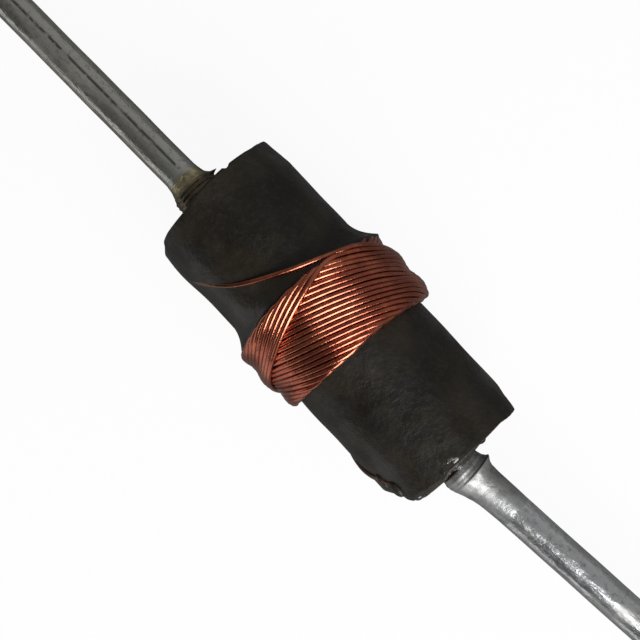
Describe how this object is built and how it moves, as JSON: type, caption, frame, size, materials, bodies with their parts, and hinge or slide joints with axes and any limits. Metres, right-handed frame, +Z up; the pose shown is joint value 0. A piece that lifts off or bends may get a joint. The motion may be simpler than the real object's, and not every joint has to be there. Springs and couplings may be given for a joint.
{
  "type": "axial inductor",
  "caption": "Small axial inductor: a narrow cross-wound copper coil on a dark rod core, with a thick tinned wire lead out of each end.",
  "frame": {"origin": "on the surface the part lies on, straight below the middle of its rod core", "axes": "+X from the tip of lead a to the tip of lead b, +Z up, as the part lies on its coil and its two lead tips"},
  "size_m": [0.0572, 0.0034, 0.0033],
  "materials": {
    "core": "satin",
    "tinned_lead": "satin",
    "copper_wire": "gloss",
    "cement": "gloss",
    "solder": "gloss",
    "varnish": "gloss"
  },
  "bodies": {
    "root": {"core": "core", "lead_a": "tinned_lead", "lead_b": "tinned_lead", "coil_wire": "copper_wire", "cement_a": "cement", "cement_b": "cement", "solder_a": "solder", "solder_b": "solder", "varnish": "varnish"}
  },
  "joints": []
}
